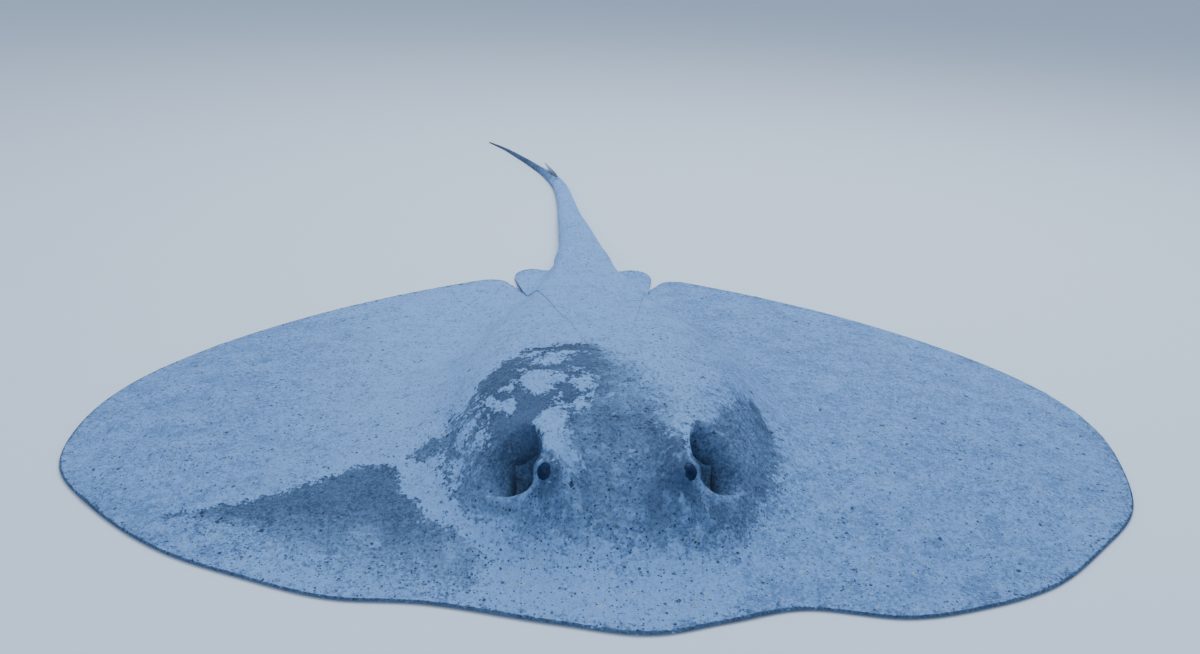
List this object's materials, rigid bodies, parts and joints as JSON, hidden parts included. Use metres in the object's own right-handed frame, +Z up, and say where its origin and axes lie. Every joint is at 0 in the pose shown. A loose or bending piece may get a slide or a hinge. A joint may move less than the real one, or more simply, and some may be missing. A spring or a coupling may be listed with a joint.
{
  "type": "short-tail stingray",
  "caption": "Life-size stingray lying flat on its belly: broad thin fins, a raised head with open spiracles, and a thick tail that thins past its sting to a curved whip.",
  "frame": {"origin": "on the floor, at the middle of the underside of the whole animal's box, which is just behind the root of the tail", "axes": "+Z up, -Y to the snout, +Y along the tail, +X to the ray's own left"},
  "size_m": [1.2002, 2.0268, 0.1299],
  "materials": {
    "skin": "smooth slate-blue living skin, dusted with pale fine sand on the back and fins, white below with grey margins",
    "sting": "hard ivory sting with a darker sheath at its root",
    "eye": "wet dark eye with a slate iris and a crescent pupil"
  },
  "bodies": {
    "root": {"head": "skin", "trunk": "skin", "pectoral_fin_left": "skin", "pectoral_fin_right": "skin", "pelvic_fin_left": "skin", "pelvic_fin_right": "skin", "tail_base": "skin", "tail_mid": "skin", "tail_whip": "skin", "tail_tip": "skin", "sting": "sting", "eye_left": "eye", "eye_right": "eye"}
  },
  "joints": []
}
